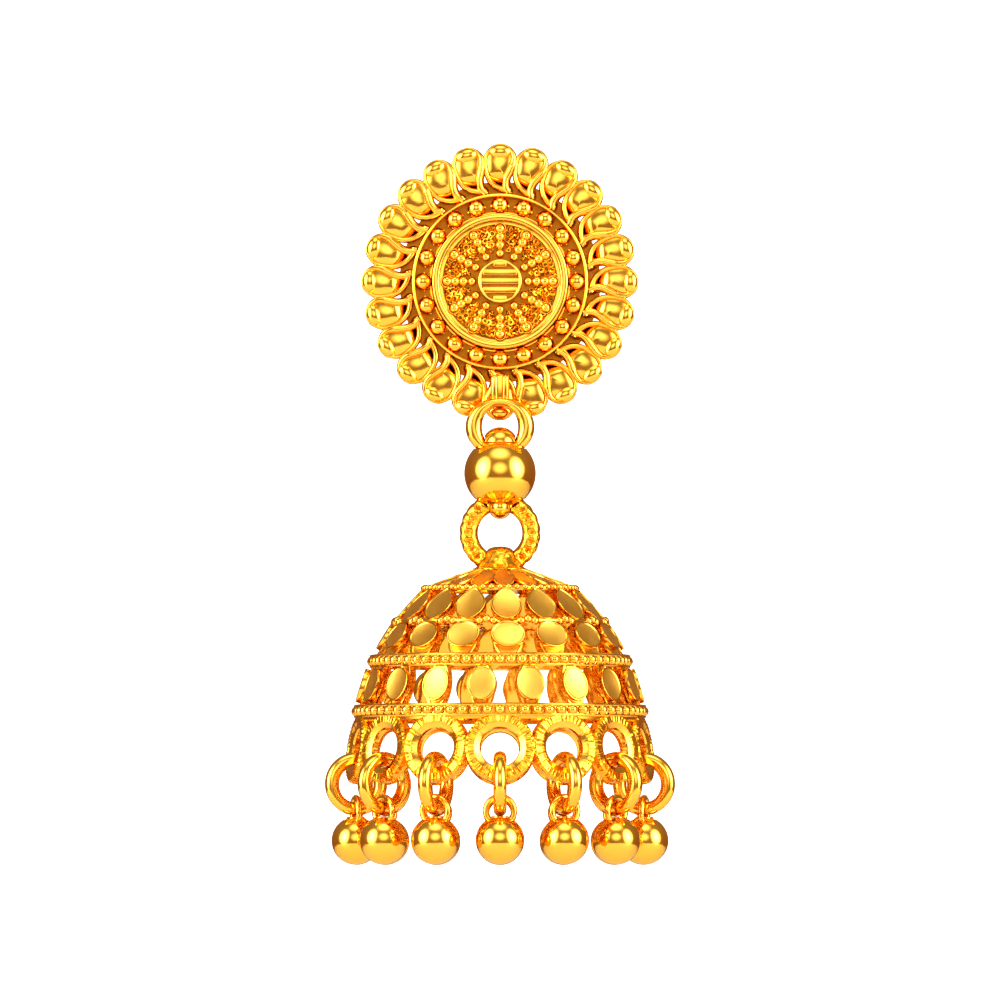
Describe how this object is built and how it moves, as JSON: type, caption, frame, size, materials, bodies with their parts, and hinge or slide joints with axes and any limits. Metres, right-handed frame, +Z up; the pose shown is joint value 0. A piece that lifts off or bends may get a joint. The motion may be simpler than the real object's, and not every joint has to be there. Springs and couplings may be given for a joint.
{
  "type": "jhumka earring",
  "caption": "Gold drop earring: petalled stud disc, ring, ball, hammered ring and a pierced bell with a fringe of loops, links and balls",
  "frame": {"origin": "on the axis of the ear post, at the flat back face of the stud disc, where the earring sits on the ear", "axes": "+Z up along the hanging drop, -Y out of the front of the stud disc, +X to the right seen from the front"},
  "size_m": [0.0276, 0.0283, 0.0578],
  "materials": {
    "polished_gold": "gold plated, mirror polished",
    "granulated_gold": "gold plated, granulated and chased",
    "hammered_gold": "gold plated, hammered",
    "satin_gold": "gold plated, sandblasted plates with bright edges"
  },
  "bodies": {
    "stud": {"petal_wreath": "polished_gold", "bead_tray": "polished_gold", "bezel_ring": "polished_gold", "centre_disc": "granulated_gold", "ear_post": "polished_gold", "hanger_ring": "polished_gold"},
    "ball": {"connector_ball": "polished_gold"},
    "ring": {"lower_ring": "hammered_gold"},
    "bell": {"bell": "satin_gold", "link_01": "polished_gold", "link_02": "polished_gold", "link_03": "polished_gold", "link_04": "polished_gold", "link_05": "polished_gold", "link_06": "polished_gold", "link_07": "polished_gold", "link_08": "polished_gold", "link_09": "polished_gold", "link_10": "polished_gold", "link_11": "polished_gold", "link_12": "polished_gold", "link_13": "polished_gold", "link_14": "polished_gold", "drop_ball_01": "polished_gold", "drop_ball_02": "polished_gold", "drop_ball_03": "polished_gold", "drop_ball_04": "polished_gold", "drop_ball_05": "polished_gold", "drop_ball_06": "polished_gold", "drop_ball_07": "polished_gold", "drop_ball_08": "polished_gold", "drop_ball_09": "polished_gold", "drop_ball_10": "polished_gold", "drop_ball_11": "polished_gold", "drop_ball_12": "polished_gold", "drop_ball_13": "polished_gold", "drop_ball_14": "polished_gold"}
  },
  "joints": [
    {"name": "ball_swing", "type": "hinge", "parent": "stud", "child": "ball", "pos_m": [0, -0.00228, -0.0137], "axis": [1, 0, 0], "range_deg": [-25, 25]},
    {"name": "ring_swing", "type": "hinge", "parent": "ball", "child": "ring", "pos_m": [0, -0.00228, -0.01765], "axis": [1, 0, 0], "range_deg": [-20, 20]},
    {"name": "bell_sway", "type": "hinge", "parent": "ring", "child": "bell", "pos_m": [0, -0.00228, -0.02016], "axis": [0, 1, 0], "range_deg": [-25, 25]}
  ]
}
